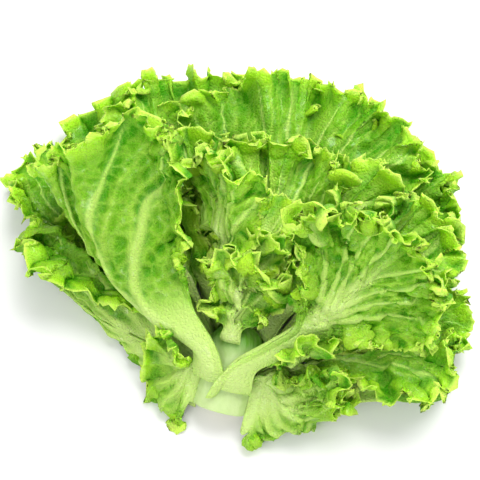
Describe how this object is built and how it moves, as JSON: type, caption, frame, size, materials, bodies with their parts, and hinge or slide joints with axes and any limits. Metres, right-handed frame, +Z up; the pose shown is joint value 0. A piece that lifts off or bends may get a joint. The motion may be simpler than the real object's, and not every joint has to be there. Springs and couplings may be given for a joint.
{
  "type": "curly leaf lettuce",
  "caption": "Whole head of green curly leaf lettuce lying on its side, with frilled leaves fanned out from a short cut stem.",
  "frame": {"origin": "centre of the bounding box at floor level, with the head lying on its side", "axes": "+X to the viewer's right across the head, +Y from the cut stem towards the leaf tips, +Z up"},
  "size_m": [0.2969, 0.2573, 0.1293],
  "materials": {
    "heart_leaf": "satin",
    "inner_leaf": "satin",
    "outer_leaf": "satin",
    "stem": "satin"
  },
  "bodies": {
    "root": {"stem": "stem", "heart_leaf_1": "heart_leaf", "heart_leaf_2": "heart_leaf", "heart_leaf_3": "heart_leaf", "heart_leaf_4": "heart_leaf", "heart_leaf_5": "heart_leaf", "inner_leaf_1": "inner_leaf", "inner_leaf_2": "inner_leaf", "inner_leaf_3": "inner_leaf", "inner_leaf_4": "inner_leaf", "inner_leaf_5": "inner_leaf", "inner_leaf_6": "inner_leaf", "middle_leaf_1": "inner_leaf", "middle_leaf_2": "inner_leaf", "outer_leaf_1": "outer_leaf", "outer_leaf_2": "outer_leaf", "outer_leaf_3": "outer_leaf", "front_leaf_left": "outer_leaf", "front_leaf_right": "outer_leaf", "small_leaf_1": "outer_leaf", "outer_leaf_4": "outer_leaf", "outer_leaf_5": "outer_leaf", "outer_leaf_6": "outer_leaf", "outer_leaf_7": "outer_leaf", "small_leaf_2": "outer_leaf", "outer_leaf_8": "outer_leaf", "outer_leaf_9": "outer_leaf"}
  },
  "joints": []
}
